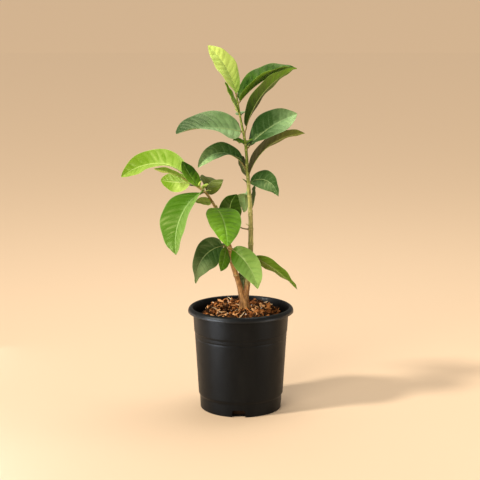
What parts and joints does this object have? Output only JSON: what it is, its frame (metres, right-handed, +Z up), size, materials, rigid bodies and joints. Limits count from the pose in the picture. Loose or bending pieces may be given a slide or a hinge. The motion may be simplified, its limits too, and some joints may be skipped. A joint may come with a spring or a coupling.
{
  "type": "potted guava plant",
  "caption": "Young forked guava plant with broad oval leaves, growing in a tapered plastic nursery pot filled with bark soil.",
  "frame": {"origin": "centre of the pot's flat underside", "axes": "+Z up the plant, -Y the front of the pot, +X to the right seen from the front"},
  "size_m": [0.3539, 0.2236, 0.6994],
  "materials": {
    "pot_plastic": "black moulded nursery plastic with a soft satin sheen",
    "bark_soil": "loose red-brown bark chips and dark compost",
    "bark": "thin smooth tan bark, green on the young wood",
    "mature_leaf": "satin mid green leaf with pressed-in veins",
    "young_leaf": "satin yellow-green young leaf"
  },
  "bodies": {
    "root": {"pot": "pot_plastic", "soil": "bark_soil", "trunk": "bark", "left_bough": "bark", "right_bough": "bark", "low_left_leaves": "mature_leaf", "low_front_leaf": "mature_leaf", "low_right_leaves": "mature_leaf", "left_inner_leaves": "mature_leaf", "left_outer_leaves": "young_leaf", "leader_lower_leaves": "mature_leaf", "leader_middle_leaves": "mature_leaf", "leader_upper_leaves": "mature_leaf", "leader_tip_leaves": "young_leaf"}
  },
  "joints": []
}
